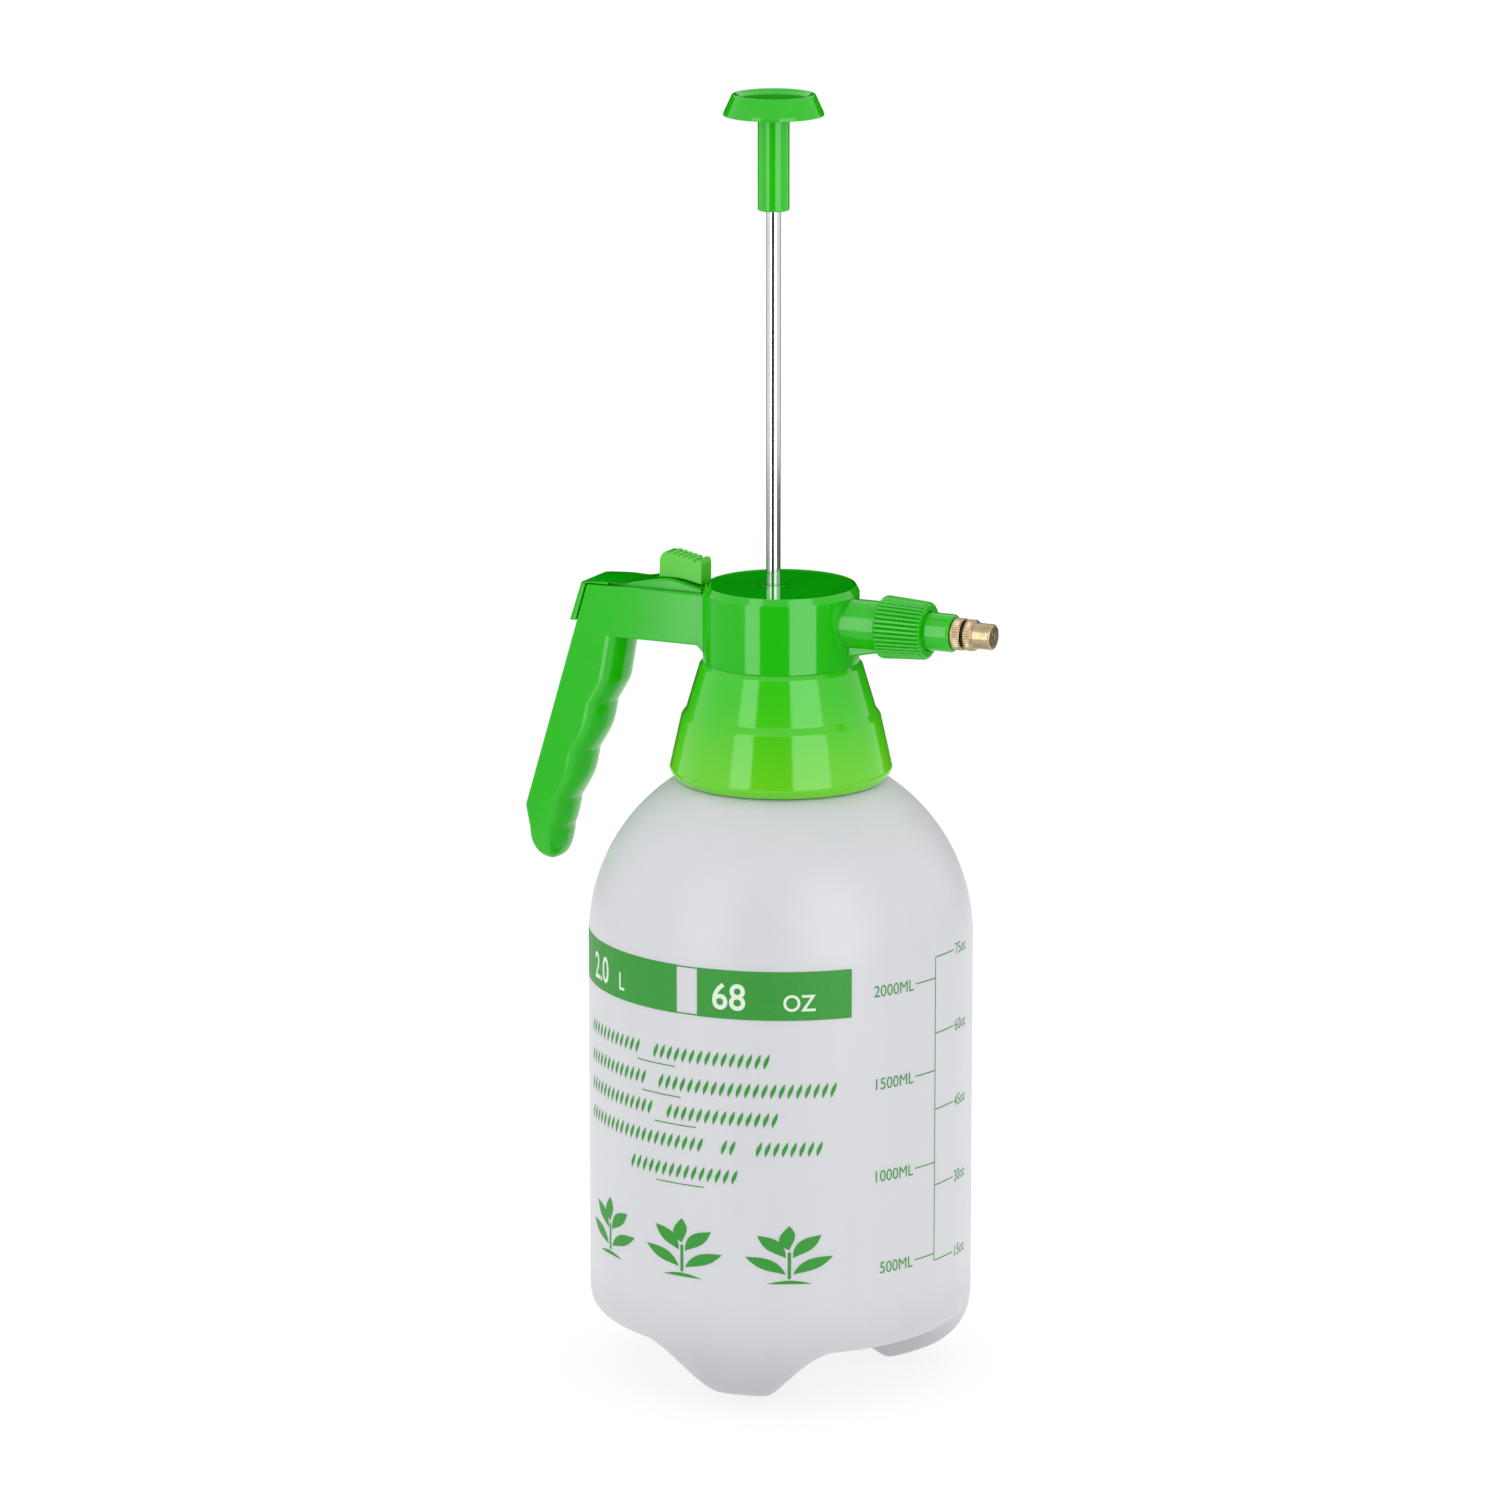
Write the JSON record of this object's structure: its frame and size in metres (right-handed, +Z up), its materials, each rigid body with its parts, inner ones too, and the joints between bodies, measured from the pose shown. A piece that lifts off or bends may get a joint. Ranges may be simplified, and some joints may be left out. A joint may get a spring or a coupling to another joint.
{
  "type": "pump sprayer",
  "caption": "Hand-pumped pressure sprayer: round translucent bottle, green head with grip, thumb lever and lock slide, raised pump plunger and brass spray nozzle.",
  "frame": {"origin": "middle of the footprint, on the surface that the feet stand on", "axes": "+Z up along the pump, +X towards the spray nozzle, the grip towards -X"},
  "size_m": [0.1761, 0.135, 0.4532],
  "materials": {
    "green_plastic": "glossy moulded polypropylene",
    "dark_green_plastic": "glossy moulded polypropylene, seen darker in the flat top",
    "milky_plastic": "translucent blow-moulded polyethylene, satin",
    "clear_tube_plastic": "natural polyethylene tube",
    "white_plastic": "natural moulded plastic",
    "black_rubber": "nitrile rubber",
    "polished_steel": "drawn and polished stainless steel",
    "turned_brass": "turned and knurled brass"
  },
  "bodies": {
    "bottle": {"bottle": "milky_plastic"},
    "head": {"head_body": "green_plastic", "seal_plate": "green_plastic", "neck_gasket": "black_rubber", "pump_cap": "dark_green_plastic", "rod_guide": "dark_green_plastic", "pump_barrel": "white_plastic", "barrel_foot": "white_plastic", "tube_adapter": "white_plastic", "dip_tube": "clear_tube_plastic", "dip_filter": "white_plastic", "valve_bush": "turned_brass", "valve_spring": "polished_steel", "delivery_tube": "clear_tube_plastic", "lever_pin": "polished_steel", "nozzle_seal": "black_rubber", "nozzle_tube": "green_plastic", "nozzle_body": "turned_brass", "nozzle_o_ring": "black_rubber"},
    "collar": {"screw_collar": "green_plastic"},
    "plunger": {"plunger_knob": "green_plastic", "plunger_rod": "polished_steel", "piston": "white_plastic", "piston_cup_seal": "black_rubber", "piston_nut": "polished_steel"},
    "check_valve": {"check_valve_disc": "black_rubber"},
    "trigger": {"trigger_lever": "green_plastic"},
    "thumb": {"thumb_slide": "green_plastic"},
    "valve": {"valve_stem": "turned_brass", "valve_disc": "black_rubber"},
    "coupling": {"coupling_nut": "green_plastic"},
    "spray_cap": {"nozzle_cap": "turned_brass"}
  },
  "joints": [
    {"name": "head_lift", "type": "slide", "parent": "bottle", "child": "head", "axis": [0, 0, 1], "range_m": [0, 0.225]},
    {"name": "collar_turn", "type": "hinge", "parent": "head", "child": "collar", "pos_m": [0.00737, 0, 0.234], "axis": [0, 0, 1], "range_deg": [0, 720]},
    {"name": "pump_stroke", "type": "slide", "parent": "head", "child": "plunger", "axis": [0, 0, 1], "range_m": [-0.13, 0]},
    {"name": "check_valve_lift", "type": "slide", "parent": "head", "child": "check_valve", "axis": [0, 0, 1], "range_m": [-0.002, 0], "stiffness_N_per_m": 25, "springref_m": 0.001},
    {"name": "trigger_press", "type": "hinge", "parent": "head", "child": "trigger", "pos_m": [-0.05463, 0, 0.2735], "axis": [0, 1, 0], "range_deg": [0, 5], "stiffness_Nm_per_rad": 0.6, "springref_deg": -2.29},
    {"name": "valve_open", "type": "slide", "parent": "head", "child": "valve", "axis": [0, 0, 1], "range_m": [-0.0024, 0], "deforming": ["valve_spring"]},
    {"name": "lock_slide", "type": "slide", "parent": "trigger", "child": "thumb", "axis": [1, 0, 0], "range_m": [-0.0025, 0]},
    {"name": "coupling_turn", "type": "hinge", "parent": "head", "child": "coupling", "pos_m": [0.05237, 0, 0.2704], "axis": [1, 0, 0], "range_deg": [0, 720]},
    {"name": "nozzle_turn", "type": "hinge", "parent": "head", "child": "spray_cap", "pos_m": [0.08337, 0, 0.2704], "axis": [1, 0, 0], "range_deg": [0, 540]}
  ],
  "couplings": [
    {"joint": "valve_open", "follows": "trigger_press", "m_per_rad": -0.026}
  ]
}
